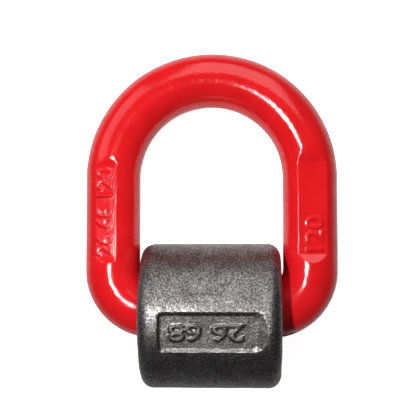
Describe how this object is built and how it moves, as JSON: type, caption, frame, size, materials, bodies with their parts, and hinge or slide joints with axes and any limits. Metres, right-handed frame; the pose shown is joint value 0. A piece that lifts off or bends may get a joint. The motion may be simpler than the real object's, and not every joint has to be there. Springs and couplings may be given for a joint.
{
  "type": "weld-on lifting ring",
  "caption": "Forged D-shaped load ring whose straight bar pivots in a U-shaped weld-on saddle, used as a lifting or lashing point welded to steel.",
  "frame": {"origin": "middle of the saddle's weld base, on the plate that it is welded to", "axes": "+Z out of the plate, X along the ring's straight bar, +Y the side on which the ring lies at rest"},
  "size_m": [0.12, 0.1599, 0.048],
  "materials": {
    "ring_paint": "gloss",
    "saddle_steel": "matte",
    "spring_steel": "satin"
  },
  "bodies": {
    "saddle": {"weld_saddle": "saddle_steel", "retaining_spring": "spring_steel"},
    "ring": {"load_ring": "ring_paint"}
  },
  "joints": [
    {"name": "ring_pivot", "type": "hinge", "parent": "saddle", "child": "ring", "pos_m": [0, 0.0024, 0.014], "axis": [1, 0, 0], "range_deg": [0, 180]}
  ]
}
